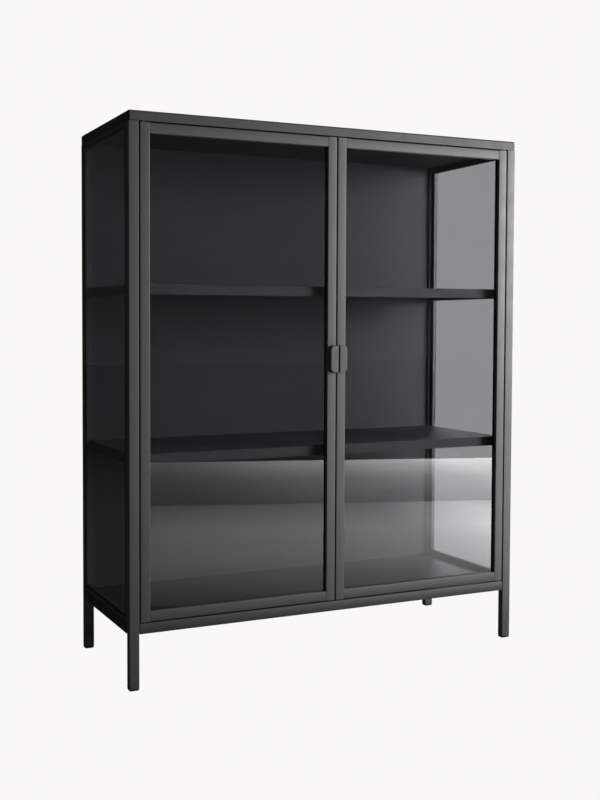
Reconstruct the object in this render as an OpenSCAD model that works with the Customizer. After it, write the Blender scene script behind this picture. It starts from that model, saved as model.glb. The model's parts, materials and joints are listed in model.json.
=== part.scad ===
// Steel and glass display cabinet on four legs, with two framed glass doors.
// Origin: middle of the footprint, on the floor. +X is to the right of a person
// facing the doors, +Y points to the back, +Z points up.

/* [Overall size] */
// Width over the posts
body_w = 900; // [600:10:1200]
// Depth over the posts
body_d = 300; // [260:10:450]
// Height from the floor to the top
body_h = 1100; // [900:10:1600]
// Clear height under the bottom panel
leg_h = 109; // [60:1:200]

/* [Posts and panels] */
// Width of a post, seen from the front
post_w = 20.5; // [18:0.5:30]
// Depth of a post
post_d = 14.5; // [14:0.5:20]
// Wall thickness of a post
post_wall = 1.5; // [1:0.1:2]
// Corner radius of posts and door bars
edge_r = 2.5; // [1:0.1:3]
// Height of the top panel's skirt
top_h = 19; // [15:1:35]
// Corner radius of the top panel
top_corner_r = 4; // [2:0.5:8]
// Height of the bottom panel's lip
bottom_h = 20; // [15:1:35]
// Step from the lip up to the cabinet floor
floor_step = 2; // [1:0.5:3]
// Sheet thickness of panels and shelves
sheet_t = 1.2; // [0.8:0.1:2]
// Width of the joint between the bottom panel and a post
joint = 1.2; // [0.5:0.1:2]
// Distance from the back of the posts to the back panel's face
back_inset = 10; // [8:0.5:12]
// Depth of the back panel's folded edges
back_flange = 9; // [6:0.5:9]
// Spacing of the two wall strap holes
strap_spacing = 600; // [200:10:700]
// Radius of a wall strap hole
strap_hole_r = 2.75; // [2:0.05:4]

/* [Side frames] */
// Thickness of a side frame, across the cabinet
side_t = 12.5; // [10:0.5:16]
// How far a side frame sits inside the post's outer face
side_inset = 0.5; // [0:0.1:1]
// Visible width of the front upright and the bottom bar
side_bar = 12.5; // [11:0.5:18]
// Visible width of the back upright
side_bar_back = 9.5; // [9:0.5:16]
// Height of the top bar
side_bar_top = 14; // [12:0.5:20]
// Width of the step that holds the side glass
rebate_w = 6; // [4:0.5:7]
// Thickness of the side glass
side_glass_t = 4; // [3:0.5:6]
// Thickness of the bonding tape behind the side glass
tape_t = 0.5; // [0.3:0.1:1]

/* [Doors] */
// Gap around and between the doors
gap = 2.5; // [2:0.1:3.5]
// Depth of a door
door_t = 16; // [15:0.5:20]
// Width of a door stile
stile_w = 20; // [18:0.5:30]
// Height of a door rail
rail_h = 19.5; // [18:0.5:30]
// Wall thickness of stiles and rails
bar_wall = 1.5; // [1:0.1:2]
// Distance from the frame's face to the glass
glass_recess = 7; // [6:0.5:8]
// Thickness of the door glass
glass_t = 4; // [3:0.5:5]
// Depth of the groove that holds the gasket and glass
groove_d = 6; // [4:0.5:6]
// Thickness of a gasket lip
gasket_lip = 1; // [0.6:0.1:1.2]

/* [Hinges and catches] */
// Radius of a pivot pin
pin_r = 2.5; // [2:0.1:3]
// Radial running clearance of a pin in its bush
pin_clear = 0.05; // [0.02:0.01:0.1]
// Pin axis from the door's outer edge and from its face
pin_inset = 6; // [5.5:0.1:6.5]
// Height of a pivot bush
bush_h = 15; // [10:1:25]
// Width of a magnetic catch
catch_w = 34; // [20:1:50]
// Distance from the middle of the cabinet to a catch's near end
catch_x = 28; // [26:1:80]

/* [Handles] */
// Width of one handle half
handle_w = 18; // [12:1:18]
// Height of a handle
handle_h = 55; // [40:1:120]
// How far a handle stands out from the door
handle_out = 11; // [8:0.5:25]
// Radius of a handle's two outer corners
handle_r = 8; // [3:0.5:12]
// Height of the handles' middle above the floor
handle_z = 629; // [500:1:800]

/* [Shelves] */
// Height of the lower shelf's top
lower_shelf_z = 451; // [300:1:550]
// Height of the upper shelf's top
upper_shelf_z = 777; // [620:1:850]
// Height of a shelf's lip
shelf_lip = 20; // [15:1:30]
// Clearance from a shelf's end to the side frame
shelf_clear = 3; // [2.5:0.5:5]
// Distance from the front of the posts to a shelf's front
shelf_front = 21; // [20:1:40]

/* [Hidden] */
$fn = 48;

steel_black = "#2B2B2D";
panel_black = "#232325";
glass_tint = "#9FA3A380";
rubber_black = "#101010";
plastic_black = "#17171A";
zinc = "#B5B8BA";
// How far a cutting shape runs past what it cuts
past = 1;

half_w = body_w / 2;
half_d = body_d / 2;
post_in_x = half_w - post_w;
post_in_y = half_d - post_d;
lip_top = leg_h + bottom_h;
floor_z = lip_top + floor_step;
ceiling_z = body_h - top_h;
foot_h = 6;
strike_t = 1;
post_reveal = 1;
post_top = ceiling_z - post_reveal;
back_y = half_d - back_inset;
step_y = door_t + strike_t - half_d;

// The left door's own box; the right door is its mirror image
door_x0 = gap - post_in_x;
door_x1 = -gap / 2;
door_y0 = -half_d;
door_y1 = door_y0 + door_t;
door_z0 = lip_top + gap;
door_z1 = ceiling_z - gap;
glass_x0 = door_x0 + stile_w;
glass_x1 = door_x1 - stile_w;
glass_z0 = door_z0 + rail_h;
glass_z1 = door_z1 - rail_h;
glass_y0 = door_y0 + glass_recess;
groove_y0 = glass_y0 - gasket_lip;
groove_w = glass_t + 2 * gasket_lip;
glass_bite = groove_d - 1;
gasket_show = 0.8;

pin_x = door_x0 + pin_inset;
pin_y = door_y0 + pin_inset;
collar_r = pin_r + 2;
collar_clear = 0.2;
pin_length = bush_h - 3;

side_x0 = side_inset - half_w;
side_x1 = side_x0 + side_t;
side_open_y0 = side_bar - post_in_y;
side_open_y1 = post_in_y - side_bar_back;
side_open_z0 = floor_z + side_bar;
side_open_z1 = ceiling_z - side_bar_top;
rebate_x = side_x0 + side_glass_t + tape_t;
side_glass_clear = 0.5;

shelf_w = 2 * (half_w - side_inset - side_t - shelf_clear);
shelf_y0 = shelf_front - half_d;
shelf_back_clear = 0.5;
shelf_y1 = post_in_y - shelf_back_clear;
clip_t = 2;
clip_h = 18;
clip_len = 22;
clip_reach = 12;
clip_y0 = 3 - post_in_y;
clip_y1 = post_in_y - 1;
stud_r = 2;
stud_up = 9;
stud_bite = 6;
stud_front_y = side_open_y0 - side_bar / 2;
stud_back_y = side_open_y1 + side_bar_back / 2;

screw_r = 2;
screw_head_r = 3.8;
screw_head_h = 2.8;
screw_bite = 10;
screw_tip = 4;
frame_screw_x = side_x1 - 4;
frame_screw_y = 60;
back_screw_r = 1.75;
back_screw_y = back_y + 5.5;
back_screw_end = 70;
back_screw_step = (ceiling_z - floor_z - 2 * back_screw_end) / 3;
back_screw_zs = [for (i = [0 : 3]) floor_z + back_screw_end + i * back_screw_step];
handle_screw_x = door_x1 - stile_w / 2;
handle_screw_zs = [handle_z - handle_h / 4, handle_z + handle_h / 4];

// A rectangle with round corners, centred on the origin
module rounded_rect(w, d, r) {
    square([w - 2 * r, d], center = true);
    square([w, d - 2 * r], center = true);
    for (sx = [-1, 1], sy = [-1, 1])
        translate([sx * (w / 2 - r), sy * (d / 2 - r)])
            circle(r);
}

// A box given by its lowest and highest corners
module box(low, high) {
    translate(low)
        cube(high - low);
}

// A cylinder along X from x0 to x1
module rod_x(x0, x1, y, z, r) {
    translate([x0, y, z])
        rotate([0, 90, 0])
            cylinder(h = x1 - x0, r = r);
}

// A cylinder along Y from y0 to y1
module rod_y(x, y0, y1, z, r) {
    translate([x, y1, z])
        rotate([90, 0, 0])
            cylinder(h = y1 - y0, r = r);
}

module rod_z(x, y, z0, z1, r) {
    translate([x, y, z0])
        cylinder(h = z1 - z0, r = r);
}

// ---- Posts and feet ----

// One square post; a back post has holes for the back panel's screws
module post(sx, sy) {
    cx = sx * (half_w - post_w / 2);
    cy = sy * (half_d - post_d / 2);
    difference() {
        translate([cx, cy, foot_h])
            linear_extrude(post_top - foot_h)
                difference() {
                    rounded_rect(post_w, post_d, edge_r);
                    square([post_w - 2 * post_wall, post_d - 2 * post_wall], center = true);
                }
        if (sy > 0)
            for (z = back_screw_zs)
                translate([sx * (post_in_x + post_wall / 2), 0])
                    rod_x(-post_wall, post_wall, back_screw_y, z, back_screw_r);
    }
}

// A moulded foot: a pad with its lower edges rounded, and a spigot up into the post
module foot(sx, sy) {
    spigot_clear = 0.2;
    spigot_h = 14;
    pad_r = 5;
    cx = sx * (half_w - post_w / 2);
    cy = sy * (half_d - post_d / 2);
    translate([cx, cy, 0]) {
        intersection() {
            linear_extrude(foot_h)
                rounded_rect(post_w, post_d, edge_r);
            translate([0, post_d, foot_h])
                rotate([90, 0, 0])
                    linear_extrude(2 * post_d)
                        rounded_rect(post_w, 2 * foot_h, pad_r);
            translate([-post_w, 0, foot_h])
                rotate([90, 0, 90])
                    linear_extrude(2 * post_w)
                        rounded_rect(post_d, 2 * foot_h, pad_r);
        }
        translate([0, 0, foot_h])
            linear_extrude(spigot_h)
                square([
                    post_w - 2 * post_wall - spigot_clear,
                    post_d - 2 * post_wall - spigot_clear
                ], center = true);
    }
}

module post_front_left() { color(steel_black) post(-1, -1); }
module post_front_right() { color(steel_black) post(1, -1); }
module post_back_left() { color(steel_black) post(-1, 1); }
module post_back_right() { color(steel_black) post(1, 1); }
module foot_front_left() { color(plastic_black) foot(-1, -1); }
module foot_front_right() { color(plastic_black) foot(1, -1); }
module foot_back_left() { color(plastic_black) foot(-1, 1); }
module foot_back_right() { color(plastic_black) foot(1, 1); }

// ---- Top, bottom and back ----

// Folded tray, open below, with two strap holes in its back skirt
module top_panel() {
    strap_z = ceiling_z + top_h / 2;
    color(steel_black)
        difference() {
            translate([0, 0, ceiling_z])
                linear_extrude(top_h)
                    rounded_rect(body_w, body_d, top_corner_r);
            translate([0, 0, ceiling_z - past])
                linear_extrude(top_h - sheet_t + past)
                    rounded_rect(body_w - 2 * sheet_t, body_d - 2 * sheet_t, top_corner_r - sheet_t);
            for (sx = [-1, 1])
                rod_y(sx * strap_spacing / 2, half_d - 2 * sheet_t, half_d + past, strap_z, strap_hole_r);
        }
}

// Flat sheet that closes the top panel from below and carries the upper pins and the catches
module top_liner() {
    color(panel_black)
        difference() {
            translate([0, 0, ceiling_z])
                linear_extrude(sheet_t)
                    rounded_rect(body_w - 2 * sheet_t, body_d - 2 * sheet_t, top_corner_r - sheet_t);
            for (sx = [-1, 1]) {
                rod_z(sx * pin_x, pin_y, ceiling_z - past, ceiling_z + sheet_t + past, pin_r);
                for (sy = [-1, 1])
                    translate([sx * frame_screw_x, sy * frame_screw_y, ceiling_z])
                        rod_z(0, 0, -past, sheet_t + past, screw_r);
            }
        }
}

// Plan of the bottom panel: the whole footprint less the four posts, drawn in by inset
module bottom_plan(inset) {
    difference() {
        square([body_w - 2 * inset, body_d - 2 * inset], center = true);
        for (sx = [-1, 1], sy = [-1, 1])
            translate([sx * half_w, sy * half_d])
                square([2 * (post_w + joint + inset), 2 * (post_d + joint + inset)], center = true);
    }
}

// Folded tray, open below: a lip all round, and a floor one step higher behind the doors
module bottom_panel() {
    module tray(inset, step_inset) {
        linear_extrude(bottom_h)
            bottom_plan(inset);
        intersection() {
            linear_extrude(bottom_h + floor_step)
                bottom_plan(inset);
            box([-half_w, step_y + step_inset, 0], [half_w, half_d, 2 * bottom_h]);
        }
    }
    color(steel_black)
        translate([0, 0, leg_h])
            difference() {
                tray(0, 0);
                translate([0, 0, -sheet_t])
                    tray(sheet_t, sheet_t);
                translate([0, 0, -bottom_h / 2])
                    linear_extrude(bottom_h)
                        bottom_plan(sheet_t);
                for (sx = [-1, 1]) {
                    rod_z(sx * pin_x, pin_y, bottom_h - 2 * sheet_t, bottom_h + past, pin_r);
                    for (sy = [-1, 1])
                        rod_z(sx * frame_screw_x, sy * frame_screw_y, bottom_h / 2, 2 * bottom_h, screw_r);
                }
            }
}

// Back sheet with its two upright edges folded back against the posts
module back_panel() {
    pan_w = 2 * post_in_x;
    module outline(w, d, r) {
        intersection() {
            rounded_rect(w, 2 * d, r);
            translate([-half_w, -half_d])
                square([body_w, half_d]);
        }
    }
    color(panel_black)
        difference() {
            translate([0, back_y + back_flange, floor_z])
                linear_extrude(ceiling_z - floor_z)
                    difference() {
                        outline(pan_w, back_flange, edge_r);
                        translate([0, past])
                            outline(pan_w - 2 * sheet_t, back_flange - sheet_t + past, edge_r - sheet_t);
                    }
            for (z = back_screw_zs)
                rod_x(-half_w, half_w, back_screw_y, z, back_screw_r);
        }
}

// ---- Side frames and side glass, drawn for the left side ----

// Four steel bars around the side glass, each with a step that the glass lies in
module side_frame() {
    module bars() {
        box([side_x0, -post_in_y, floor_z], [side_x1, post_in_y, side_open_z0]);
        box([side_x0, -post_in_y, side_open_z1], [side_x1, post_in_y, ceiling_z]);
        box([side_x0, -post_in_y, side_open_z0], [side_x1, side_open_y0, side_open_z1]);
        box([side_x0, side_open_y1, side_open_z0], [side_x1, post_in_y, side_open_z1]);
    }
    difference() {
        bars();
        box(
            [side_x0 - past, side_open_y0 - rebate_w, side_open_z0 - rebate_w],
            [rebate_x, side_open_y1 + rebate_w, side_open_z1 + rebate_w]
        );
        for (sy = [-1, 1]) {
            y = sy * frame_screw_y;
            rod_z(frame_screw_x, y, floor_z - past, floor_z + screw_bite, screw_r);
            rod_z(frame_screw_x, y, side_open_z1 - past, ceiling_z + past, screw_r);
            rod_z(frame_screw_x, y, side_open_z1 - past, side_open_z1 + screw_head_h, screw_head_r);
        }
        for (z = [lower_shelf_z, upper_shelf_z]) {
            stud_z = z - shelf_lip + stud_up;
            rod_x(side_x1 - stud_bite, side_x1 + past, stud_front_y, stud_z, stud_r);
            rod_x(side_x1 - stud_bite, side_x1 + past, stud_back_y, stud_z, stud_r);
        }
    }
}

module side_glass() {
    box(
        [
            side_x0,
            side_open_y0 - rebate_w + side_glass_clear,
            side_open_z0 - rebate_w + side_glass_clear
        ],
        [
            side_x0 + side_glass_t,
            side_open_y1 + rebate_w - side_glass_clear,
            side_open_z1 + rebate_w - side_glass_clear
        ]
    );
}

// Black double-sided tape that bonds the side glass into the frame's step
module side_tape() {
    difference() {
        box(
            [
                side_x0 + side_glass_t,
                side_open_y0 - rebate_w + side_glass_clear,
                side_open_z0 - rebate_w + side_glass_clear
            ],
            [
                rebate_x,
                side_open_y1 + rebate_w - side_glass_clear,
                side_open_z1 + rebate_w - side_glass_clear
            ]
        );
        box(
            [side_x0, side_open_y0, side_open_z0],
            [side_x1, side_open_y1, side_open_z1]
        );
    }
}

module side_frame_left() { color(steel_black) side_frame(); }
module side_frame_right() { color(steel_black) mirror([1, 0, 0]) side_frame(); }
module side_glass_left() { color(glass_tint) side_glass(); }
module side_glass_right() { color(glass_tint) mirror([1, 0, 0]) side_glass(); }
module side_tape_left() { color(rubber_black) side_tape(); }
module side_tape_right() { color(rubber_black) mirror([1, 0, 0]) side_tape(); }

// ---- Shelves and their clips ----

// Folded tray shelf, open below, with its top at height z
module shelf(z) {
    shelf_r = 2;
    depth = shelf_y1 - shelf_y0;
    translate([0, (shelf_y0 + shelf_y1) / 2, z - shelf_lip])
        difference() {
            linear_extrude(shelf_lip)
                rounded_rect(shelf_w, depth, shelf_r);
            translate([0, 0, -past])
                linear_extrude(shelf_lip - sheet_t + past)
                    rounded_rect(shelf_w - 2 * sheet_t, depth - 2 * sheet_t, shelf_r - sheet_t);
        }
}

// The two bent steel clips on the left side, front and back. Each has a plate on the side
// frame's upright, a tongue under the shelf, and a stud through the plate into the upright.
module clip_pair(z) {
    seat = z - shelf_lip;
    module clip(y0, y1, stud_y) {
        box([side_x1, y0, seat - clip_t], [side_x1 + clip_t, y1, seat - clip_t + clip_h]);
        box([side_x1, y0, seat - clip_t], [side_x1 + clip_reach, y1, seat]);
        rod_x(side_x1 - stud_bite, side_x1 + clip_t / 2, stud_y, seat + stud_up, stud_r);
    }
    clip(clip_y0, clip_y0 + clip_len, stud_front_y);
    clip(clip_y1 - clip_len, clip_y1, stud_back_y);
}

module shelf_clips(z) {
    for (side = [0, 1])
        mirror([side, 0, 0])
            clip_pair(z);
}

module shelf_lower() { color(panel_black) shelf(lower_shelf_z); }
module shelf_upper() { color(panel_black) shelf(upper_shelf_z); }
module shelf_clips_lower() { color(steel_black) shelf_clips(lower_shelf_z); }
module shelf_clips_upper() { color(steel_black) shelf_clips(upper_shelf_z); }

// ---- Door parts, drawn for the left door ----

// Section of a door bar w wide: round edges, a hollow, and a groove in the +X edge for the glass
module bar_section(w) {
    difference() {
        translate([w / 2, door_t / 2])
            rounded_rect(w, door_t, edge_r);
        translate([w - groove_d, groove_y0 - door_y0])
            square([groove_d + past, groove_w]);
        translate([bar_wall, bar_wall])
            square([w - groove_d - 2 * bar_wall, door_t - 2 * bar_wall]);
    }
}

module hinge_stile() {
    translate([door_x0, door_y0, door_z0])
        linear_extrude(door_z1 - door_z0)
            bar_section(stile_w);
}

module meeting_stile() {
    difference() {
        translate([door_x1, door_y0, door_z0])
            linear_extrude(door_z1 - door_z0)
                mirror([1, 0])
                    bar_section(stile_w);
        for (z = handle_screw_zs)
            rod_y(handle_screw_x, door_y0 - past, door_y1 + past, z, screw_r);
    }
}

// A rail lies between the stiles, its groove facing the glass
module bottom_rail() {
    translate([glass_x0, door_y0, door_z0])
        multmatrix([[0, 0, 1, 0], [0, 1, 0, 0], [1, 0, 0, 0]])
            linear_extrude(glass_x1 - glass_x0)
                bar_section(rail_h);
}

module top_rail() {
    translate([0, 0, door_z0 + door_z1])
        mirror([0, 0, 1])
            bottom_rail();
}

module door_glass() {
    box(
        [glass_x0 - glass_bite, glass_y0, glass_z0 - glass_bite],
        [glass_x1 + glass_bite, glass_y0 + glass_t, glass_z1 + glass_bite]
    );
}

// Rubber channel around the glass's edge, just proud of the frame's inner edge
module door_gasket() {
    difference() {
        box(
            [glass_x0 - groove_d, groove_y0, glass_z0 - groove_d],
            [glass_x1 + groove_d, groove_y0 + groove_w, glass_z1 + groove_d]
        );
        door_glass();
        box(
            [glass_x0 + gasket_show, door_y0, glass_z0 + gasket_show],
            [glass_x1 - gasket_show, door_y1, glass_z1 - gasket_show]
        );
    }
}

// Half-oblong block; its straight edge lies along the meeting stile's outer edge
module door_handle() {
    difference() {
        translate([door_x1, door_y0, handle_z - handle_h / 2])
            rotate([90, 0, 0])
                linear_extrude(handle_out)
                    union() {
                        translate([handle_r - handle_w, 0])
                            square([handle_w - handle_r, handle_h]);
                        translate([-handle_w, handle_r])
                            square([handle_w, handle_h - 2 * handle_r]);
                        for (z = [handle_r, handle_h - handle_r])
                            translate([handle_r - handle_w, z])
                                circle(handle_r);
                    }
        for (z = handle_screw_zs)
            rod_y(handle_screw_x, door_y0 - handle_out / 2, door_y0 + past, z, screw_r);
    }
}

module handle_screws() {
    head_h = 2;
    for (z = handle_screw_zs) {
        rod_y(handle_screw_x, door_y0 - handle_out / 2, door_y1, z, screw_r);
        rod_y(handle_screw_x, door_y1, door_y1 + head_h, z, screw_head_r);
    }
}

// A block that fills the hollow of a stile's end, from height z up
module stile_block(x, z) {
    translate([x + bar_wall, door_y0 + bar_wall, z])
        cube([stile_w - groove_d - 2 * bar_wall, door_t - 2 * bar_wall, bush_h]);
}

// Two pivot bushes, one in each end of the hinge stile
module door_bushes() {
    for (z = [door_z0, door_z1 - bush_h])
        difference() {
            stile_block(door_x0, z);
            rod_z(pin_x, pin_y, z - past, z + bush_h + past, pin_r + pin_clear);
        }
}

// Two plugs, one in each end of the meeting stile
module end_plugs() {
    for (z = [door_z0, door_z1 - bush_h])
        stile_block(door_x1 - stile_w + groove_d, z);
}

// Thin steel plate on the back of the top rail, which the catch's magnet holds
module strike_plate() {
    plate_in = 2;
    plate_up = 4;
    box(
        [-catch_x - catch_w + plate_in, door_y1, glass_z1 + plate_up],
        [-catch_x - plate_in, door_y1 + strike_t, door_z1 - plate_up]
    );
}

module door_left_hinge_stile() { color(steel_black) hinge_stile(); }
module door_left_meeting_stile() { color(steel_black) meeting_stile(); }
module door_left_top_rail() { color(steel_black) top_rail(); }
module door_left_bottom_rail() { color(steel_black) bottom_rail(); }
module door_left_glass() { color(glass_tint) door_glass(); }
module door_left_gasket() { color(rubber_black) door_gasket(); }
module door_left_handle() { color(steel_black) door_handle(); }
module door_left_handle_screws() { color(zinc) handle_screws(); }
module door_left_bushes() { color(plastic_black) door_bushes(); }
module door_left_end_plugs() { color(plastic_black) end_plugs(); }
module door_left_strike_plate() { color(zinc) strike_plate(); }
module door_right_hinge_stile() { color(steel_black) mirror([1, 0, 0]) hinge_stile(); }
module door_right_meeting_stile() { color(steel_black) mirror([1, 0, 0]) meeting_stile(); }
module door_right_top_rail() { color(steel_black) mirror([1, 0, 0]) top_rail(); }
module door_right_bottom_rail() { color(steel_black) mirror([1, 0, 0]) bottom_rail(); }
module door_right_glass() { color(glass_tint) mirror([1, 0, 0]) door_glass(); }
module door_right_gasket() { color(rubber_black) mirror([1, 0, 0]) door_gasket(); }
module door_right_handle() { color(steel_black) mirror([1, 0, 0]) door_handle(); }
module door_right_handle_screws() { color(zinc) mirror([1, 0, 0]) handle_screws(); }
module door_right_bushes() { color(plastic_black) mirror([1, 0, 0]) door_bushes(); }
module door_right_end_plugs() { color(plastic_black) mirror([1, 0, 0]) end_plugs(); }
module door_right_strike_plate() { color(zinc) mirror([1, 0, 0]) strike_plate(); }

// ---- Pins, catches and screws ----

// Riveted pivot pins: one pair of doors, top and bottom, each with a collar in the door's gap
module hinge_pins() {
    head_h = 2;
    liner_top = ceiling_z + sheet_t;
    color(zinc)
        for (side = [0, 1])
            mirror([side, 0, 0]) {
                rod_z(pin_x, pin_y, door_z1 - pin_length, liner_top + head_h, pin_r);
                rod_z(pin_x, pin_y, door_z1 + collar_clear, ceiling_z, collar_r);
                rod_z(pin_x, pin_y, liner_top, liner_top + head_h, collar_r);
                rod_z(pin_x, pin_y, lip_top - sheet_t - head_h, door_z0 + pin_length, pin_r);
                rod_z(pin_x, pin_y, lip_top, door_z0 - collar_clear, collar_r);
                rod_z(pin_x, pin_y, lip_top - sheet_t - head_h, lip_top - sheet_t, collar_r);
            }
}

// Magnetic catches under the liner, just behind the doors' top rails
module magnet_catches() {
    catch_gap = 0.6;
    catch_y0 = door_y1 + strike_t + catch_gap;
    catch_d = 12;
    catch_drop = 3;
    color(plastic_black)
        for (side = [0, 1])
            mirror([side, 0, 0])
                box(
                    [-catch_x - catch_w, catch_y0, glass_z1 + catch_drop],
                    [-catch_x, catch_y0 + catch_d, ceiling_z]
                );
}

// Screws up through the side frames' top bars into the liner
module top_panel_screws() {
    color(zinc)
        for (sx = [-1, 1], sy = [-1, 1]) {
            x = sx * frame_screw_x;
            y = sy * frame_screw_y;
            rod_z(x, y, side_open_z1, side_open_z1 + screw_head_h, screw_head_r);
            rod_z(x, y, side_open_z1, ceiling_z + sheet_t + screw_tip, screw_r);
        }
}

// Screws up through the bottom panel into the side frames' bottom bars
module bottom_panel_screws() {
    seat = floor_z - sheet_t;
    color(zinc)
        for (sx = [-1, 1], sy = [-1, 1]) {
            x = sx * frame_screw_x;
            y = sy * frame_screw_y;
            rod_z(x, y, seat - screw_head_h, seat, screw_head_r);
            rod_z(x, y, seat - screw_head_h, floor_z + screw_bite, screw_r);
        }
}

// Four screws a side, outwards through the back panel's folded edges into the posts
module back_panel_screws() {
    head_h = 2;
    head_x = post_in_x - sheet_t;
    screw_end_x = post_in_x + post_wall + screw_tip;
    color(zinc)
        for (side = [0, 1], z = back_screw_zs)
            mirror([side, 0, 0]) {
                rod_x(head_x - head_h, head_x, back_screw_y, z, 2 * back_screw_r);
                rod_x(head_x - head_h, screw_end_x, back_screw_y, z, back_screw_r);
            }
}

top_panel();
top_liner();
bottom_panel();
back_panel();
post_front_left();
post_front_right();
post_back_left();
post_back_right();
foot_front_left();
foot_front_right();
foot_back_left();
foot_back_right();
side_frame_left();
side_frame_right();
side_glass_left();
side_glass_right();
side_tape_left();
side_tape_right();
shelf_lower();
shelf_upper();
shelf_clips_lower();
shelf_clips_upper();
door_left_hinge_stile();
door_left_meeting_stile();
door_left_top_rail();
door_left_bottom_rail();
door_left_glass();
door_left_gasket();
door_left_handle();
door_left_handle_screws();
door_left_bushes();
door_left_end_plugs();
door_left_strike_plate();
door_right_hinge_stile();
door_right_meeting_stile();
door_right_top_rail();
door_right_bottom_rail();
door_right_glass();
door_right_gasket();
door_right_handle();
door_right_handle_screws();
door_right_bushes();
door_right_end_plugs();
door_right_strike_plate();
hinge_pins();
magnet_catches();
top_panel_screws();
bottom_panel_screws();
back_panel_screws();
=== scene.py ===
import json
import math

import bmesh
import bpy
from mathutils import Matrix, Vector


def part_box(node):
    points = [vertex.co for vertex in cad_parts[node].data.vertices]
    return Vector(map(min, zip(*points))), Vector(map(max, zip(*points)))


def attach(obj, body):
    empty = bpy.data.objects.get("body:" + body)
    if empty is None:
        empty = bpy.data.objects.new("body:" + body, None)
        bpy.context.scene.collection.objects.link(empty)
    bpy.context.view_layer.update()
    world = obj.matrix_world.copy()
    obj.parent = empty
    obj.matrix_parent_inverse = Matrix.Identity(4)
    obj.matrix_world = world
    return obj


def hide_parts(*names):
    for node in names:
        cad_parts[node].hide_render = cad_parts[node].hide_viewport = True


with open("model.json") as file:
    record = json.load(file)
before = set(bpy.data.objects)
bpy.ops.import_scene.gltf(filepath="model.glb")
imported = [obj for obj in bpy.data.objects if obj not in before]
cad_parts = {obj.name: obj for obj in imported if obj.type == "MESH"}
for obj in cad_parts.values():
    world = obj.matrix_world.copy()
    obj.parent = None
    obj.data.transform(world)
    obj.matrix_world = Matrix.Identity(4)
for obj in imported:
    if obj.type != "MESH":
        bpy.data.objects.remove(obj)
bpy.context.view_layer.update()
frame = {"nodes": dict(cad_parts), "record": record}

# ---- Posts ----
# Four rectangular steel tubes, roll-formed with soft corners and faces that stand very
# slightly proud in their middle. They are welded to the side frames and powder coated.

MM = 0.001
NEAR = 0.01 * MM


def take(piece):
    """Makes piece the one selected and active object."""
    bpy.ops.object.select_all(action="DESELECT")
    piece.select_set(True)
    bpy.context.view_layer.objects.active = piece


def block(name, low, high):
    """A cuboid from its lowest to its highest corner, with its place in its mesh."""
    bpy.ops.object.select_all(action="DESELECT")
    bpy.ops.mesh.primitive_cube_add(size=1, location=(low + high) / 2, scale=high - low)
    bpy.ops.object.transform_apply(location=True, rotation=True, scale=True)
    piece = bpy.context.object
    piece.name = piece.data.name = name
    return piece


def choose(piece, kind, test):
    """In edit mode, selects the edges or faces that pass test, and nothing else."""
    bpy.ops.mesh.select_mode(type=kind)
    bpy.ops.mesh.select_all(action="DESELECT")
    mesh = bmesh.from_edit_mesh(piece.data)
    for part in mesh.edges if kind == "EDGE" else mesh.faces:
        if test(part):
            part.select_set(True)
    mesh.select_flush_mode()
    bmesh.update_edit_mesh(piece.data)


def cut(co, no):
    """In edit mode, cuts the whole mesh along a plane and keeps both sides."""
    bpy.ops.mesh.select_all(action="SELECT")
    bpy.ops.mesh.bisect(plane_co=co, plane_no=no)


def round_edges(piece, radius, steps, test):
    """In edit mode, rolls the edges that pass test to a radius."""
    choose(piece, "EDGE", test)
    bpy.ops.mesh.bevel(offset=radius, segments=steps, affect="EDGES")


def runs(edge, axis):
    """True if an edge lies along one axis: 0 for X, 1 for Y, 2 for Z."""
    run = edge.verts[1].co - edge.verts[0].co
    return abs(run[axis]) > 0.999 * run.length


def at(part, axis, place):
    """True if every corner of an edge or face has this place on the axis."""
    return all(abs(v.co[axis] - place) < NEAR for v in part.verts)


def sharp(edge):
    """True if the two faces at an edge turn by more than 57 degrees."""
    return edge.calc_face_angle(0) > 1


def crown(piece, across, face, front, edge_low, edge_high, rise):
    """In edit mode, draws a flat face, at front on the face axis, back towards the two long edges
    it has on the across axis, so that its middle stands proud by rise."""
    middle, half = (edge_low + edge_high) / 2, (edge_high - edge_low) / 2
    mesh = bmesh.from_edit_mesh(piece.data)
    for v in mesh.verts:
        if abs(v.co[face] - front) < NEAR:
            v.co[face] += rise * ((v.co[across] - middle) / half) ** 2
    bmesh.update_edit_mesh(piece.data)


def finish(piece, material, body, node):
    """Shades a piece, gives it its finish, hangs it on the body it rides on, and hides the CAD node it
    stands for.
    """
    if piece.mode == "EDIT":
        bpy.ops.object.mode_set(mode="OBJECT")
    take(piece)
    bpy.ops.object.shade_smooth_by_angle(angle=math.radians(35))
    bpy.ops.object.modifier_add(type="WEIGHTED_NORMAL")
    piece.modifiers[-1].keep_sharp = True
    bpy.ops.object.modifier_apply(modifier=piece.modifiers[-1].name)
    piece.data.materials.clear()
    piece.data.materials.append(material)
    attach(piece, body)
    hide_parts(node)


def linear(colour):
    """An sRGB hex colour in Blender's linear numbers."""
    parts = [int(colour[i : i + 2], 16) / 255 for i in (1, 3, 5)]
    return [c / 12.92 if c <= 0.04045 else ((c + 0.055) / 1.055) ** 2.4 for c in parts] + [1]


def add(tree, kind, settings=None, links=None):
    """Adds one shader node, with its settings, and links to its inputs."""
    node = tree.nodes.new("ShaderNode" + kind)
    for name, value in (settings or {}).items():
        if isinstance(name, str) and hasattr(node, name):
            setattr(node, name, value)
        else:
            node.inputs[name].default_value = value
    for name, (source, output) in (links or {}).items():
        tree.links.new(source.outputs[output], node.inputs[name])
    return node


def blank(name):
    """A new material with an empty node tree."""
    material = bpy.data.materials.new(name)
    material.use_nodes = True
    material.node_tree.nodes.clear()
    return material, material.node_tree


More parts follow.
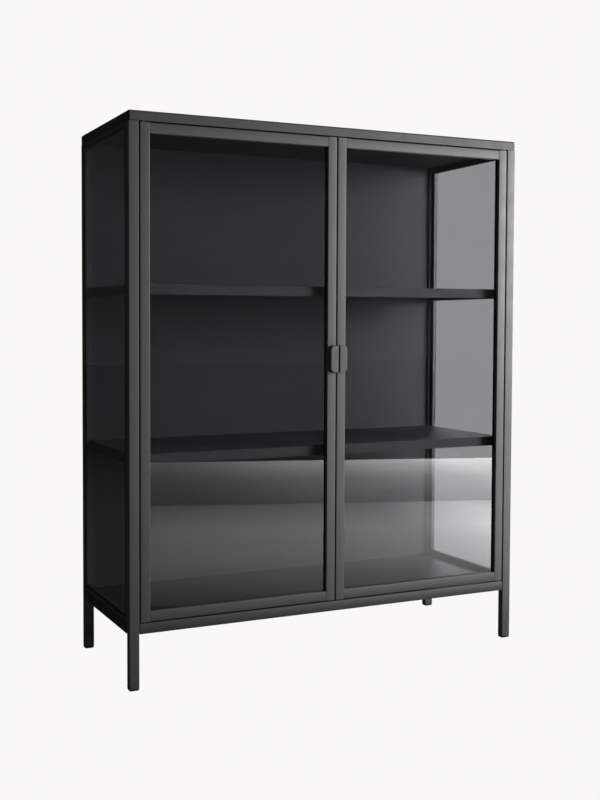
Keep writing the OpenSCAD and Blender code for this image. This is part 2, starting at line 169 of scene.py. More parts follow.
def powder_coat(name, light, dark, rough, peel_mm, depth_mm):
    """Polyester powder baked on steel. It flows into a fine orange peel, so highlights are soft and
    a little broken, and lies thicker or thinner in clouds a hand wide. Within 90 mm of the floor it
    is rubbed paler in spots."""
    material, tree = blank(name)
    where = add(tree, "TexCoord")
    clouds = add(tree, "TexNoise", {"Scale": 1 / (110 * MM), "Detail": 3}, {"Vector": (where, "Object")})
    # The real peel is about 1 mm across: it is drawn coarser so that it shows
    peel = add(tree, "TexNoise", {"Scale": 1 / (peel_mm * MM), "Detail": 2}, {"Vector": (where, "Object")})
    # Patches about as wide as a thumb, where hands and cloths have changed the gloss
    handling = add(
        tree, "TexNoise", {"Scale": 1 / (28 * MM), "Detail": 4}, {"Vector": (where, "Object")}
    )
    tone = add(
        tree,
        "Mix",
        {"data_type": "RGBA", 6: linear(dark), 7: linear(light)},
        {0: (clouds, "Fac")},
    )
    height = add(tree, "SeparateXYZ", None, {0: (where, "Object")})
    low = add(
        tree,
        "MapRange",
        {"From Min": 4 * MM, "From Max": 90 * MM, "To Min": 1, "To Max": 0},
        {"Value": (height, "Z")},
    )
    speck = add(
        tree,
        "MapRange",
        {"From Min": 0.6, "From Max": 0.72, "To Min": 0, "To Max": 0.25},
        {"Value": (handling, "Fac")},
    )
    rub = add(tree, "Math", {"operation": "MULTIPLY"}, {0: (low, "Result"), 1: (speck, "Result")})
    worn = add(
        tree,
        "Mix",
        {"data_type": "RGBA", 7: linear("#4A4A4C")},
        {0: (rub, "Value"), 6: (tone, 2)},
    )
    gloss = add(
        tree,
        "MapRange",
        {"From Min": 0.3, "From Max": 0.7, "To Min": rough - 0.03, "To Max": rough + 0.04},
        {"Value": (handling, "Fac")},
    )
    bump = add(
        tree,
        "Bump",
        {"Strength": 0.5, "Distance": depth_mm * MM},
        {"Height": (peel, "Fac")},
    )
    coat = add(
        tree,
        "BsdfPrincipled",
        {"IOR": 1.5},
        {"Base Color": (worn, 2), "Roughness": (gloss, "Result"), "Normal": (bump, "Normal")},
    )
    add(tree, "OutputMaterial", None, {"Surface": (coat, "BSDF")})
    return material


frame_coat = powder_coat("satin_black_powder_coat", "#3A3A3C", "#323234", 0.5, 4, 0.05)

POST_EDGE = 1.2 * MM
POST_RISE = 0.18 * MM
# Where a flat face is cut so that it can follow its crown
FIFTHS = (0.2, 0.4, 0.6, 0.8)

for depth in ("front", "back"):
    for side in ("left", "right"):
        node = f"post_{depth}_{side}"
        low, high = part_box(node)
        post = block(f"{node}_tube", low, high)
        outer_y, inward_y = (low.y, 1) if depth == "front" else (high.y, -1)
        outer_x, inward_x = (low.x, 1) if side == "left" else (high.x, -1)
        bpy.ops.object.mode_set(mode="EDIT")
        for share in FIFTHS:
            cut(low.lerp(high, share), (1, 0, 0))
            cut(low.lerp(high, share), (0, 1, 0))
        crown(post, 0, 1, outer_y, low.x, high.x, inward_y * POST_RISE)
        crown(post, 1, 0, outer_x, low.y, high.y, inward_x * POST_RISE)
        round_edges(post, POST_EDGE, 5, lambda edge: runs(edge, 2) and sharp(edge))
        finish(post, frame_coat, "cabinet", node)

# ---- Feet ----
# Injection-moulded nylon glides, pressed into the open ends of the posts. The moulded
# skin is a fine spark-eroded texture, matt and slightly clouded.


def fine_skin(name, dark, light, cloud, grain, rough, bump, settings):
    """A material with a cloudy colour from dark to light and a finer grain in its gloss and height.
    cloud and grain are each a size in mm and a level of detail, rough is a range, and bump a
    strength and a depth in mm."""
    material, tree = blank(name)
    where = add(tree, "TexCoord")
    blush, grit = (
        add(tree, "TexNoise", {"Scale": 1 / (size * MM), "Detail": detail}, {"Vector": (where, "Object")})
        for size, detail in (cloud, grain)
    )
    tone = add(
        tree,
        "Mix",
        {"data_type": "RGBA", 6: linear(dark), 7: linear(light)},
        {0: (blush, "Fac")},
    )
    gloss = add(tree, "MapRange", {"To Min": rough[0], "To Max": rough[1]}, {"Value": (grit, "Fac")})
    relief = add(tree, "Bump", {"Strength": bump[0], "Distance": bump[1] * MM}, {"Height": (grit, "Fac")})
    skin = add(
        tree,
        "BsdfPrincipled",
        settings,
        {"Base Color": (tone, 2), "Roughness": (gloss, "Result"), "Normal": (relief, "Normal")},
    )
    add(tree, "OutputMaterial", None, {"Surface": (skin, "BSDF")})
    return material


nylon = fine_skin(
    "moulded_black_nylon", "#131314", "#1E1E20", (12, 2), (1.2, 3), (0.5, 0.68), (0.4, 0.05), {"IOR": 1.53}
)


def paint(node, material):
    """Gives a CAD node that keeps its own shape its finish."""
    frame["nodes"][node].data.materials.clear()
    frame["nodes"][node].data.materials.append(material)


for node in ("foot_front_left", "foot_front_right", "foot_back_left", "foot_back_right"):
    paint(node, nylon)

# ---- Side frames ----
# Four steel bars welded to a frame between two posts, with a step milled all round that
# the glass lies in. The long edges are broken by hand before the powder goes on.

FRAME_EDGE = 0.8 * MM
HOLE_EDGE_MAX = 60 * MM


def from_cad(name, node):
    """A merged copy of a CAD node's mesh, with its flat faces made whole, in edit mode."""
    bpy.ops.object.select_all(action="DESELECT")
    mesh = frame["nodes"][node].data.copy()
    piece = bpy.data.objects.new(name, mesh)
    mesh.name = name
    bpy.context.scene.collection.objects.link(piece)
    take(piece)
    bpy.ops.object.mode_set(mode="EDIT")
    bpy.ops.mesh.select_all(action="SELECT")
    bpy.ops.mesh.remove_doubles(threshold=NEAR)
    bpy.ops.mesh.dissolve_limited(angle_limit=math.radians(0.5), delimit={"NORMAL"})
    return piece


def long_corner(edge):
    """True for a sharp edge between two flat faces that is longer than any hole is wide."""
    return (
        edge.calc_length() > HOLE_EDGE_MAX
        and len(edge.link_faces) == 2
        and edge.calc_face_angle() > math.radians(45)
    )


for side in ("left", "right"):
    node = f"side_frame_{side}"
    side_frame = from_cad(f"{node}_bars", node)
    round_edges(side_frame, FRAME_EDGE, 3, long_corner)
    finish(side_frame, frame_coat, "cabinet", node)

# ---- Glass and tape ----
# Toughened float glass with a neutral grey tint, 4 mm thick. Heating it on rollers leaves
# a slow wave in its face, and hands leave a faint smear. The side panes are bonded with
# black foam tape.

grey_glass, tree = blank("grey_tinted_toughened_glass")
where = add(tree, "TexCoord")
stretch = add(tree, "Mapping", {"Scale": (0.4, 0.4, 1)}, {"Vector": (where, "Object")})
roller = add(tree, "TexNoise", {"Scale": 1 / (260 * MM), "Detail": 0}, {"Vector": (stretch, "Vector")})
bump = add(tree, "Bump", {"Strength": 0.25, "Distance": 0.1 * MM}, {"Height": (roller, "Fac")})
touch = add(tree, "TexNoise", {"Scale": 1 / (45 * MM), "Detail": 3}, {"Vector": (where, "Object")})
smear = add(
    tree,
    "MapRange",
    {"From Min": 0.55, "From Max": 0.8, "To Min": 0, "To Max": 0.03},
    {"Value": (touch, "Fac")},
)
pane = add(
    tree,
    "BsdfPrincipled",
    {"Base Color": linear("#C9CACC"), "IOR": 1.52, "Transmission Weight": 1},
    {"Roughness": (smear, "Result"), "Normal": (bump, "Normal")},
)
# Light on its way to a lit surface passes straight through, only tinted
path = add(tree, "LightPath")
passed = add(tree, "BsdfTransparent", {"Color": linear("#E2E3E4")})
pane_or_light = add(
    tree,
    "MixShader",
    None,
    {0: (path, "Is Shadow Ray"), 1: (pane, "BSDF"), 2: (passed, "BSDF")},
)
add(tree, "OutputMaterial", None, {"Surface": (pane_or_light, "Shader")})

foam_tape, tree = blank("black_foam_tape")
where = add(tree, "TexCoord")
cells = add(tree, "TexVoronoi", {"Scale": 1 / (1.5 * MM)}, {"Vector": (where, "Object")})
tone = add(
    tree,
    "Mix",
    {"data_type": "RGBA", 6: linear("#0B0B0B"), 7: linear("#141414")},
    {0: (cells, "Distance")},
)
bump = add(tree, "Bump", {"Strength": 0.3, "Distance": 0.1 * MM}, {"Height": (cells, "Distance")})
foam = add(
    tree,
    "BsdfPrincipled",
    {"Roughness": 0.85, "IOR": 1.5},
    {"Base Color": (tone, 2), "Normal": (bump, "Normal")},
)
add(tree, "OutputMaterial", None, {"Surface": (foam, "BSDF")})

for side in ("left", "right"):
    paint(f"side_glass_{side}", grey_glass)
    paint(f"side_tape_{side}", foam_tape)

# ---- Bottom panel ----
# A tray folded from 1.2 mm steel, open below and notched round the posts. Its lip shows
# under the doors, and the cabinet floor is one pressed step higher behind them. Top and
# bottom are coated apart from the frame, in a slightly darker and duller powder.

tray_coat = powder_coat("matt_black_powder_coat", "#2A2A2C", "#242426", 0.57, 4, 0.05)

FOLD_EDGE = 1.2 * MM
LIP_HIGH = 20 * MM
LIP_RISE = 1.1 * MM

low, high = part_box("bottom_panel")
bottom = from_cad("bottom_tray", "bottom_panel")


def outer_fold(edge):
    """True for the tray's folds that show: its rim, its top edge and the step's edge."""
    a, b = edge.verts
    outside = all(
        min(v.co.y - low.y, high.y - v.co.y, v.co.x - low.x, high.x - v.co.x) < NEAR for v in (a, b)
    )
    return long_corner(edge) and outside and a.co.z > low.z + NEAR


for share in FIFTHS:
    cut((0, 0, low.z + LIP_HIGH * share), (0, 0, 1))
crown(bottom, 2, 1, low.y, low.z, low.z + LIP_HIGH, LIP_RISE)
round_edges(bottom, FOLD_EDGE, 4, outer_fold)
finish(bottom, tray_coat, "cabinet", "bottom_panel")

# ---- Back panel ----
# One steel sheet with its two upright edges folded back against the posts and screwed
# through them. It is coated on its own, in a finer and duller powder than the frame.

panel_coat = powder_coat("fine_matt_black_powder_coat", "#2C2C2E", "#252527", 0.7, 3, 0.06)
paint("back_panel", panel_coat)

# ---- Top panel ----
# A tray folded from 1.2 mm steel with welded and ground corners, open below. A flat
# liner sheet closes it, and its back skirt has two holes for wall straps.

TOP_CORNER = 4 * MM
TOP_FOLD = 3.8 * MM
SHEET = 1.2 * MM
DRILL_LONG = 12 * MM


def extrude(x, y, z):
    """In edit mode, draws the selected faces out of their mesh, or into it."""
    bpy.ops.mesh.extrude_region_move(TRANSFORM_OT_translate={"value": (x, y, z)})


def tray(name, node, corner, corner_steps, fold, fold_steps):
    """A sheet tray the size of a CAD node and open below, with round corners and a round top edge."""
    low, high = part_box(node)
    piece = block(name, low, high)
    bpy.ops.object.mode_set(mode="EDIT")
    round_edges(piece, corner, corner_steps, lambda edge: runs(edge, 2))
    round_edges(piece, fold, fold_steps, lambda edge: at(edge, 2, high.z))
    choose(piece, "FACE", lambda face: face.normal.z < -0.99)
    bpy.ops.mesh.inset(thickness=SHEET)
    extrude(0, 0, high.z - low.z - SHEET)
    bpy.ops.object.mode_set(mode="OBJECT")
    return piece


def carve(piece, tool):
    """Cuts a tool's shape out of a piece and takes the tool away."""
    take(piece)
    bpy.ops.object.modifier_add(type="BOOLEAN")
    piece.modifiers[-1].object = tool
    piece.modifiers[-1].solver = "EXACT"
    bpy.ops.object.modifier_apply(modifier=piece.modifiers[-1].name)
    bpy.data.objects.remove(tool)


low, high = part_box("top_panel")
top = tray("top_tray", "top_panel", TOP_CORNER, 6, TOP_FOLD, 5)
straps = next(m for m in frame["record"]["mounts"] if m["name"] == "wall_strap_holes")["dims"]
for side in (-1, 1):
    bpy.ops.object.select_all(action="DESELECT")
    bpy.ops.mesh.primitive_cylinder_add(
        vertices=32,
        radius=straps["hole_r_mm"] * MM,
        depth=DRILL_LONG,
        location=(side * straps["spacing_x_mm"] * MM / 2, high.y, (low.z + high.z) / 2),
        rotation=(math.pi / 2, 0, 0),
    )
    carve(top, bpy.context.object)
finish(top, tray_coat, "cabinet", "top_panel")
paint("top_liner", panel_coat)

# ---- Shelves ----
# Two trays folded from 1.2 mm steel, open below, with a 20 mm lip all round and welded
# corners. They rest on clips and lift out.

SHELF_CORNER = 2 * MM
SHELF_FOLD = 1.2 * MM

for level in ("lower", "upper"):
    node = f"shelf_{level}"
    shelf = tray(f"{node}_tray", node, SHELF_CORNER, 4, SHELF_FOLD, 4)
    finish(shelf, panel_coat, "cabinet", node)

# ---- Shelf clips ----
# Eight bent steel clips, four to a shelf. Each has a plate against the side frame, held
# by a stud that does not show, and a tongue that the shelf rests on.

CLIP = 2 * MM
CLIP_HIGH = 18 * MM
CLIP_LONG = 22 * MM
CLIP_REACH = 12 * MM
CLIP_EDGE = 0.5 * MM

plate_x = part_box("side_frame_left")[1].x
for level in ("lower", "upper"):
    node = f"shelf_clips_{level}"
    low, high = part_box(node)
    for end, start_y in (("front", low.y), ("back", high.y - CLIP_LONG)):
        corner_low = Vector((plate_x, start_y, low.z))
        corner_high = corner_low + Vector((CLIP, CLIP_LONG, CLIP_HIGH))
        clip = block(f"clip_{level}_{end}_left", corner_low, corner_high)
        bpy.ops.object.mode_set(mode="EDIT")
        cut((0, 0, low.z + CLIP), (0, 0, 1))
        choose(
            clip,
            "FACE",
            lambda face: face.normal.x > 0.99 and face.calc_center_median().z < low.z + CLIP,
        )
        extrude(CLIP_REACH - CLIP, 0, 0)
        round_edges(clip, CLIP_EDGE, 3, sharp)
        bpy.ops.object.mode_set(mode="OBJECT")
        mirrored = clip.copy()
        mirrored.data = clip.data.copy()
        mirrored.name = mirrored.data.name = f"clip_{level}_{end}_right"
        bpy.context.scene.collection.objects.link(mirrored)
        mirrored.data.transform(Matrix.Scale(-1, 4, (1, 0, 0)))
        mirrored.data.flip_normals()
        for piece in (clip, mirrored):
            finish(piece, frame_coat, "cabinet", node)

# ---- Door frames ----
# Each door has two full-height stiles and two rails butted between them, all of one
# roll-formed bar with a groove for the glass. The joints show as fine upright lines.

GROOVE = 6 * MM
STILE_RISE = 0.25 * MM
RAIL_RISE = 0.7 * MM
BAR_EDGE = 1.1 * MM
# Where a bar's face is cut across its width so that it can follow its crown
BAR_CUTS = (0.16, 0.33, 0.5, 0.85)


def door_bar(name, start, across, along, width, depth, length, groove, rise):
    """One door bar. Its section is laid out from its outer edge to the glass and from its face to its
    back, drawn out to its length, and then turned so that it starts at start."""
    bpy.ops.object.select_all(action="DESELECT")
    bpy.ops.mesh.primitive_plane_add(size=1, location=(width / 2, depth / 2, 0))
    bar = bpy.context.object
    bar.name = bar.data.name = name
    bar.scale = (width, depth, 1)
    bpy.ops.object.transform_apply(location=True, rotation=True, scale=True)
    bpy.ops.object.mode_set(mode="EDIT")
    for y in groove:
        cut((0, y, 0), (0, 1, 0))
    cut((width - GROOVE, 0, 0), (1, 0, 0))
    choose(
        bar,
        "FACE",
        lambda face: groove[0] < face.calc_center_median().y < groove[1]
        and face.calc_center_median().x > width - GROOVE,
    )
    bpy.ops.mesh.delete(type="FACE")
    for share in BAR_CUTS:
        cut((width * share, 0, 0), (1, 0, 0))
    bpy.ops.mesh.select_all(action="SELECT")
    extrude(0, 0, length)
    bpy.ops.mesh.select_all(action="SELECT")
    bpy.ops.mesh.normals_make_consistent(inside=False)
    crown(bar, 0, 1, 0, 0, width, rise)
    round_edges(bar, BAR_EDGE, 5, lambda edge: runs(edge, 2) and at(edge, 0, 0) and sharp(edge))
    round_edges(
        bar,
        BAR_EDGE,
        4,
        lambda edge: runs(edge, 2)
        and at(edge, 0, width)
        and sharp(edge)
        and min(edge.verts[0].co.y, depth - edge.verts[0].co.y) < rise + NEAR,
    )
    bpy.ops.object.mode_set(mode="OBJECT")
    across, along = Vector(across), Vector(along)
    turn = Matrix((across, (0, 1, 0), along)).transposed().to_4x4()
    turn.translation = start
    bar.data.transform(turn)
    if turn.determinant() < 0:
        bar.data.flip_normals()
    return bar


for side, mirror in (("left", 1), ("right", -1)):
    body = f"door_{side}"
    stile_low, stile_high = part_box(f"{body}_hinge_stile")
    meet_low, meet_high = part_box(f"{body}_meeting_stile")
    gasket_low, gasket_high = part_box(f"{body}_gasket")
    depth = stile_high.y - stile_low.y
    groove = (gasket_low.y - stile_low.y, gasket_high.y - stile_low.y)
    for part, outer_x in (
        ("hinge_stile", stile_low.x if mirror > 0 else stile_high.x),
        ("meeting_stile", meet_high.x if mirror > 0 else meet_low.x),
    ):
        inwards = mirror if part == "hinge_stile" else -mirror
        bar = door_bar(
            f"{body}_{part}_bar",
            Vector((outer_x, stile_low.y, stile_low.z)),
            (inwards, 0, 0),
            (0, 0, 1),
            stile_high.x - stile_low.x,
            depth,
            stile_high.z - stile_low.z,
            groove,
            STILE_RISE,
        )
        finish(bar, frame_coat, body, f"{body}_{part}")
    for part, up in (("bottom_rail", 1), ("top_rail", -1)):
        rail_low, rail_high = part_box(f"{body}_{part}")
        bar = door_bar(
            f"{body}_{part}_bar",
            Vector((rail_low.x, rail_low.y, rail_low.z if up > 0 else rail_high.z)),
            (0, 0, up),
            (1, 0, 0),
            rail_high.z - rail_low.z,
            depth,
            rail_high.x - rail_low.x,
            groove,
            RAIL_RISE,
        )
        finish(bar, frame_coat, body, f"{body}_{part}")

# ---- Door glass and gaskets ----
# The door panes are the same grey glass. A black rubber channel, extruded with a dusty
# bloom on its skin, is fitted round each pane before the frame is closed on it.

rubber = fine_skin(
    "extruded_black_rubber", "#0A0A0A", "#161616", (9, 4), (9, 4), (0.6, 0.75), (0.2, 0.1), {"IOR": 1.5}
)

for side in ("left", "right"):
    paint(f"door_{side}_glass", grey_glass)
    paint(f"door_{side}_gasket", rubber)

# ---- Handles ----
# A solid half oblong on each meeting stile, cast in zinc and coated with the frame. The
# two together make one oblong, with a broad chamfer round its face.

HANDLE_CORNER = 9.5 * MM
HANDLE_CHAMFER = 1.8 * MM
HANDLE_EDGE = 0.6 * MM

for side, outer in (("left", 0), ("right", 1)):
    body = f"door_{side}"
    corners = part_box(f"{body}_handle")
    low, high = corners
    handle = block(f"{body}_pull", low, high)
    outer_x = corners[outer].x
    bpy.ops.object.mode_set(mode="EDIT")
    round_edges(handle, HANDLE_CORNER, 10, lambda edge: runs(edge, 1) and at(edge, 0, outer_x))
    round_edges(handle, HANDLE_CHAMFER, 3, lambda edge: at(edge, 1, low.y))
    round_edges(
        handle,
        HANDLE_EDGE,
        2,
        lambda edge: not at(edge, 1, low.y) and not at(edge, 1, high.y) and sharp(edge),
    )
    finish(handle, frame_coat, body, f"{body}_handle")

# ---- Stile ends ----
# Nylon caps with a shallow dished face close the open ends of the stiles. In the hinge
# stile they are the bushes that the pivot pins turn in.

CAP_IN = 1.6 * MM
CAP_PROUD = 0.5 * MM
CAP_DEEP = 3 * MM
CAP_CORNER = 1.2 * MM
CAP_RIM = 1.5 * MM
CAP_DISH = 0.3 * MM

for side in ("left", "right"):
    body = f"door_{side}"
    for part, node in (("hinge_stile", "bushes"), ("meeting_stile", "end_plugs")):
        low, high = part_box(f"{body}_{part}")
        for end, z, out in (("bottom", low.z, -1), ("top", high.z, 1)):
            ends = sorted((z + out * CAP_PROUD, z - out * CAP_DEEP))
            cap = block(
                f"{body}_{part}_{end}_cap",
                Vector((low.x + CAP_IN, low.y + CAP_IN, ends[0])),
                Vector((high.x - CAP_IN, high.y - CAP_IN, ends[1])),
            )
            bpy.ops.object.mode_set(mode="EDIT")
            round_edges(cap, CAP_CORNER, 3, lambda edge: runs(edge, 2))
            choose(cap, "FACE", lambda face: face.normal.z * out > 0.99)
            bpy.ops.mesh.inset(thickness=CAP_RIM)
            extrude(0, 0, -out * CAP_DISH)
            finish(cap, nylon, body, f"{body}_{node}")

# ---- Hinge pins ----
# Turned steel pins, blackened in hot oxide salts and riveted into the top liner and the
# bottom panel. A collar on each keeps the door off the panel.

# Blackening adds no thickness, so it has no relief
black_steel = fine_skin(
    "hot_blackened_steel", "#2A2B2E", "#3A3A3C", (4, 3), (4, 3), (0.4, 0.55), (0, 0), {"Metallic": 1}
)
paint("hinge_pins", black_steel)

# ---- Catches ----
# A magnet in a black nylon housing behind each top rail, screwed up into the liner, and
# a thin strike plate on the rail that it holds. The plate is zinc-plated steel, with a
# faint cloudy sheen.

zinc = fine_skin(
    "zinc_plated_steel", "#A3A6A8", "#C0C3C4", (3, 3), (3, 3), (0.28, 0.45), (0.2, 0.05), {"Metallic": 1}
)

HOUSING_PAST = 2 * MM
HOUSING_CORNER = 1.5 * MM
MOUTH_RIM = 2.5 * MM
MOUTH_DEEP = 0.6 * MM
STRIKE_CORNER = 1.5 * MM
STRIKE_EDGE = 0.25 * MM
STRIKE_RIM = 3 * MM
STRIKE_DISH = 0.3 * MM

low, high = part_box("magnet_catches")
for side in ("left", "right"):
    strike_low, strike_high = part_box(f"door_{side}_strike_plate")
    housing = block(
        f"magnet_catch_{side}",
        Vector((strike_low.x - HOUSING_PAST, low.y, low.z)),
        Vector((strike_high.x + HOUSING_PAST, high.y, high.z)),
    )
    bpy.ops.object.mode_set(mode="EDIT")
    round_edges(housing, HOUSING_CORNER, 3, lambda edge: not at(edge, 2, high.z))
    choose(housing, "FACE", lambda face: face.normal.y < -0.99)
    bpy.ops.mesh.inset(thickness=MOUTH_RIM)
    extrude(0, MOUTH_DEEP, 0)
    finish(housing, nylon, "cabinet", "magnet_catches")
    strike = block(f"door_{side}_strike", strike_low, strike_high)
    bpy.ops.object.mode_set(mode="EDIT")
    round_edges(strike, STRIKE_CORNER, 4, lambda edge: runs(edge, 1))
    round_edges(strike, STRIKE_EDGE, 2, lambda edge: at(edge, 1, strike_high.y))
    choose(strike, "FACE", lambda face: face.normal.y > 0.99)
    bpy.ops.mesh.inset(thickness=STRIKE_RIM)
    extrude(0, -STRIKE_DISH, 0)
    finish(strike, zinc, f"door_{side}", f"door_{side}_strike_plate")

# ---- Screws ----
# Zinc-plated pan-head screws with a cross recess. They hold the handles, the top panel,
# the bottom panel and the back panel.

# The recess's width as a share of the head's radius, and its depth as a share of its height
RECESS_WIDE = 0.28
RECESS_DEEP = 0.5


def pan_head(name, radius, head, shank_radius, shank):
    """One screw with its head's seat at the origin, its head towards +Z and its shank towards -Z."""
    bpy.ops.object.select_all(action="DESELECT")
    bpy.ops.mesh.primitive_cylinder_add(vertices=32, radius=radius, depth=head, location=(0, 0, head / 2))
    screw = bpy.context.object
    bpy.ops.object.transform_apply(location=True, rotation=True, scale=True)
    screw.name = screw.data.name = name
    bpy.ops.object.mode_set(mode="EDIT")
    round_edges(screw, head * 0.5, 4, lambda edge: at(edge, 2, head))
    choose(screw, "FACE", lambda face: face.normal.z < -0.99)
    bpy.ops.mesh.inset(thickness=radius - shank_radius)
    extrude(0, 0, -shank)
    bpy.ops.object.mode_set(mode="OBJECT")
    for long, wide in ((radius, radius * RECESS_WIDE), (radius * RECESS_WIDE, radius)):
        half = Vector((long / 2, wide / 2, head * RECESS_DEEP))
        carve(screw, block("blade", Vector((0, 0, head)) - half, Vector((0, 0, head)) + half))
    return screw


def drive(screw, name, seat, turn, body, node):
    """A copy of a screw with its own mesh, its head's seat at seat, facing as turn says."""
    driven = screw.copy()
    driven.data = screw.data.copy()
    driven.name = driven.data.name = name
    bpy.context.scene.collection.objects.link(driven)
    driven.data.transform(Matrix.Translation(seat) @ turn)
    finish(driven, zinc, body, node)


HEAD_R = 3.8 * MM
HEAD_HIGH = 2 * MM
PANEL_HEAD_HIGH = 2.8 * MM
SHANK_R = 2 * MM
# A handle screw stops this short of its hole's end
SHANK_SHORT = 1 * MM
BACK_HEAD_R = 3.5 * MM
BACK_SHANK_R = 1.75 * MM
BACK_SHANK = 7 * MM
BACK_ROWS = 4
facing_back = Matrix.Rotation(-math.pi / 2, 4, "X")
facing_down = Matrix.Rotation(math.pi, 4, "X")

low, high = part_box("door_left_handle_screws")
shank = high.y - low.y - HEAD_HIGH - SHANK_SHORT
master = pan_head("handle_screw", HEAD_R, HEAD_HIGH, SHANK_R, shank)
for side in ("left", "right"):
    low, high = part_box(f"door_{side}_handle_screws")
    for level, z in (("low", low.z + HEAD_R), ("high", high.z - HEAD_R)):
        seat = Vector(((low.x + high.x) / 2, high.y - HEAD_HIGH, z))
        name = f"door_{side}_handle_screw_{level}"
        drive(master, name, seat, facing_back, f"door_{side}", f"door_{side}_handle_screws")
bpy.data.objects.remove(master)

for panel in ("top_panel", "bottom_panel"):
    node = f"{panel}_screws"
    low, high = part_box(node)
    shank = high.z - low.z - PANEL_HEAD_HIGH
    master = pan_head("panel_screw", HEAD_R, PANEL_HEAD_HIGH, SHANK_R, shank)
    for side, x in (("left", low.x + HEAD_R), ("right", high.x - HEAD_R)):
        for depth, y in (("front", low.y + HEAD_R), ("back", high.y - HEAD_R)):
            seat = Vector((x, y, low.z + PANEL_HEAD_HIGH))
            drive(master, f"{panel}_screw_{depth}_{side}", seat, facing_down, "cabinet", node)
    bpy.data.objects.remove(master)

low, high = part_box("back_panel_screws")
master = pan_head("back_screw", BACK_HEAD_R, HEAD_HIGH, BACK_SHANK_R, BACK_SHANK)
seat_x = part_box("back_panel")[1].x - SHEET
for side, sign in (("left", -1), ("right", 1)):
    turn = Matrix.Rotation(-sign * math.pi / 2, 4, "Y")
    for row in range(BACK_ROWS):
        z = low.z + BACK_HEAD_R + row * (high.z - low.z - 2 * BACK_HEAD_R) / (BACK_ROWS - 1)
        seat = Vector((sign * seat_x, (low.y + high.y) / 2, z))
        drive(master, f"back_panel_screw_{side}_{row + 1}", seat, turn, "cabinet", "back_panel_screws")
bpy.data.objects.remove(master)

# ---- Studio ----
# A pale paper floor that runs into a pale surround. Glossy surfaces mirror darker ones, and
# two lit boards lying in front. One soft box stands in front to the right, one behind.


def seen_directly(tree):
    """1 where the camera sees a surface straight or through glass, 0 where it lights or mirrors."""
    path = add(tree, "LightPath")
    straight = add(
        tree,
        "Math",
        {"operation": "MAXIMUM"},
        {0: (path, "Is Camera Ray"), 1: (path, "Is Transmission Ray")},
    )
    turned = add(
        tree,
        "Math",
        {"operation": "ADD", "use_clamp": True},
        {0: (path, "Diffuse Depth"), 1: (path, "Glossy Depth")},
    )
    fresh = add(tree, "Math", {"operation": "SUBTRACT", 0: 1}, {1: (turned, "Value")})
    return add(tree, "Math", {"operation": "MULTIPLY"}, {0: (straight, "Value"), 1: (fresh, "Value")})


PAPER = "#F9F8F6"

world = bpy.data.worlds.new("studio")
bpy.context.scene.world = world
world.use_nodes = True
tree = world.node_tree
tree.nodes.clear()
seen = seen_directly(tree)
where = add(tree, "TexCoord")
direction = add(tree, "SeparateXYZ", None, {0: (where, "Generated")})
# Unless seen directly, the surround is darkest at the left and palest overhead
rightwards = add(tree, "MapRange", {"From Min": -0.6, "From Max": 0.5}, {"Value": (direction, "X")})
dim = add(
    tree,
    "Mix",
    {"data_type": "RGBA", 6: linear("#1E1E1F"), 7: linear("#424244")},
    {0: (rightwards, "Result")},
)
zenith = add(tree, "MapRange", {"From Min": 0.5, "From Max": 1, "To Max": 1}, {"Value": (direction, "Z")})
domed = add(
    tree,
    "Mix",
    {"data_type": "RGBA", 7: linear("#BDBDBF")},
    {0: (zenith, "Result"), 6: (dim, 2)},
)
surround = add(
    tree,
    "Mix",
    {"data_type": "RGBA", 7: linear(PAPER)},
    {0: (seen, "Value"), 6: (domed, 2)},
)
sky = add(tree, "Background", None, {"Color": (surround, 2)})
add(tree, "OutputWorld", None, {"Surface": (sky, "Background")})

bpy.ops.object.select_all(action="DESELECT")
bpy.ops.mesh.primitive_plane_add(size=30)
floor = bpy.context.object
floor.name = "floor"
paper, tree = blank("pale_floor")
seen = seen_directly(tree)
path = add(tree, "LightPath")
dulled = add(
    tree,
    "Mix",
    {"data_type": "RGBA", 6: linear("#C0C0BE"), 7: linear("#343434")},
    {0: (path, "Is Glossy Ray")},
)
matt_floor = add(tree, "BsdfDiffuse", None, {"Color": (dulled, 2)})
pale = add(tree, "Emission", {"Color": linear(PAPER)})
shown = add(
    tree, "MixShader", None, {0: (seen, "Value"), 1: (matt_floor, "BSDF"), 2: (pale, "Emission")}
)
add(tree, "OutputMaterial", None, {"Surface": (shown, "Shader")})
floor.data.materials.append(paper)


BOARD_SLANT = 0.3
BOARD_PIVOT_X = 1
BOARD_START = 0.15
BOARD_LIFT = 5 * MM
BOARD_LIGHT = 10


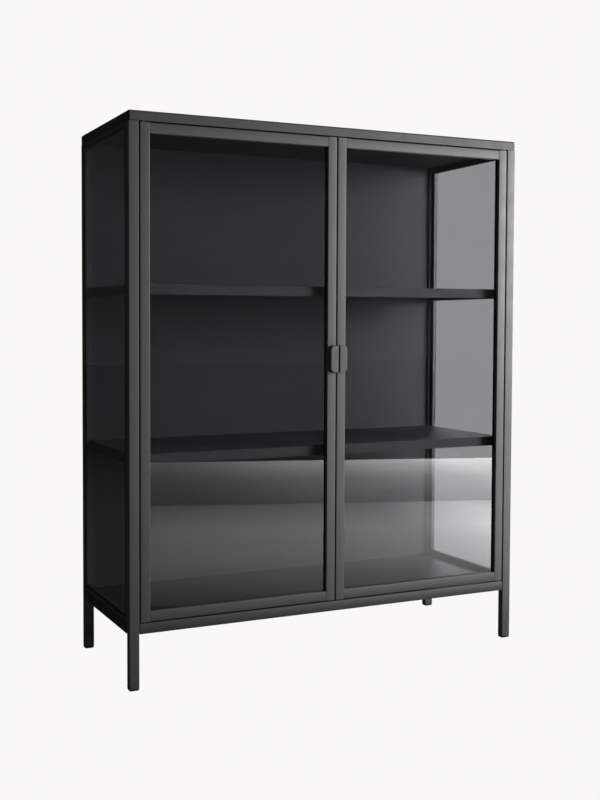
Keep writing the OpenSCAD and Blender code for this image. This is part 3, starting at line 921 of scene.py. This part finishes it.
def bounce_board(name, near, far, left, right, towards, sideways):
    """A lit board lying on the floor in front, which only glossy surfaces mirror. It reaches from
    near to far in front of the doors and from left to right, and lies askew by the slant. towards
    gives how bright it is from its far edge to its near one, sideways from left to right."""
    bpy.ops.object.select_all(action="DESELECT")
    bpy.ops.mesh.primitive_plane_add(size=1)
    board = bpy.context.object
    board.name = name
    turn = math.atan(BOARD_SLANT)
    board.scale = (right - left, (far - near) * math.cos(turn), 1)
    board.rotation_euler = (0, 0, turn)
    middle_x = (left + right) / 2
    line_y = BOARD_SLANT * (middle_x - BOARD_PIVOT_X) - BOARD_START
    board.location = (middle_x, line_y - (near + far) / 2, BOARD_LIFT)
    material, tree = blank(name)
    where = add(tree, "TexCoord")
    place = add(tree, "SeparateXYZ", None, {0: (where, "Generated")})
    ramps = []
    for axis, stops in (("X", sideways), ("Y", towards)):
        ramp = add(tree, "ValToRGB", None, {0: (place, axis)})
        for _ in stops[2:]:
            ramp.color_ramp.elements.new(0.5)
        for element, (share, level) in zip(ramp.color_ramp.elements, stops):
            element.position = share
            element.color = (level, level, level, 1)
        ramps.append(ramp)
    both = add(tree, "Math", {"operation": "MULTIPLY"}, {0: (ramps[0], 0), 1: (ramps[1], 0)})
    light = add(tree, "Math", {"operation": "MULTIPLY", 1: BOARD_LIGHT}, {0: (both, "Value")})
    card = add(tree, "Emission", {"Color": linear("#FFFFFF")}, {"Strength": (light, "Value")})
    add(tree, "OutputMaterial", None, {"Surface": (card, "Emission")})
    board.data.materials.append(material)
    board.visible_camera = board.visible_transmission = False
    board.visible_diffuse = board.visible_shadow = False


bounce_board(
    "far_board",
    1.62,
    2.92,
    -0.8,
    2.6,
    [(0, 1.0), (0.18, 0.8), (0.5, 0.46), (0.93, 0.26), (1, 0.22)],
    [(0, 0.1), (0.41, 0.13), (0.48, 0.19), (0.59, 0.36), (0.66, 0.42), (0.79, 0.68), (0.85, 1.0)],
)
bounce_board(
    "near_board",
    0.15,
    1.62,
    -0.9,
    1.6,
    [(0, 0.5), (0.35, 1.0), (0.66, 0.85), (0.85, 0.5), (1, 0.2)],
    [(0, 0.0), (0.2, 0.08), (0.48, 0.18), (0.6, 0.22), (0.74, 0.3), (0.8, 0.5), (0.88, 0.9)],
)


def soft_box(name, place, aim, wide, tall, watts):
    """A rectangular soft box at place that faces aim."""
    lamp = bpy.data.lights.new(name, "AREA")
    lamp.shape = "RECTANGLE"
    lamp.size, lamp.size_y = wide, tall
    lamp.energy = watts
    holder = bpy.data.objects.new(name, lamp)
    bpy.context.scene.collection.objects.link(holder)
    holder.location = place
    holder.rotation_euler = (Vector(aim) - Vector(place)).to_track_quat("-Z", "Y").to_euler()
    holder.visible_camera = holder.visible_transmission = False


soft_box("soft_box_front", (2.9, -1.9, 1.22), (0, -0.1, 0.65), 1.3, 1.2, 190)
soft_box("soft_box_back", (2.2, 3.0, 1.4), (0, 0.1, 0.6), 1.2, 1.2, 60)

# ---- Camera ----
# It stands 0.7 m high in front to the left and looks slightly down. A side shift brings
# the cabinet towards the middle of the picture without turning the camera to it.

VIEW_YAW = 22.769
VIEW_PITCH = -2.247

eye = bpy.data.cameras.new("camera")
eye.lens = 46.635
eye.shift_x = 0.14
eye.shift_y = -0.0438
eye.clip_end = 100
camera = bpy.data.objects.new("camera", eye)
bpy.context.scene.collection.objects.link(camera)
camera.location = (-1.09995, -1.98572, 0.69976)
camera.rotation_euler = (math.radians(90 + VIEW_PITCH), 0, math.radians(-VIEW_YAW))
bpy.context.scene.camera = camera
bpy.context.scene.view_settings.view_transform = "Standard"
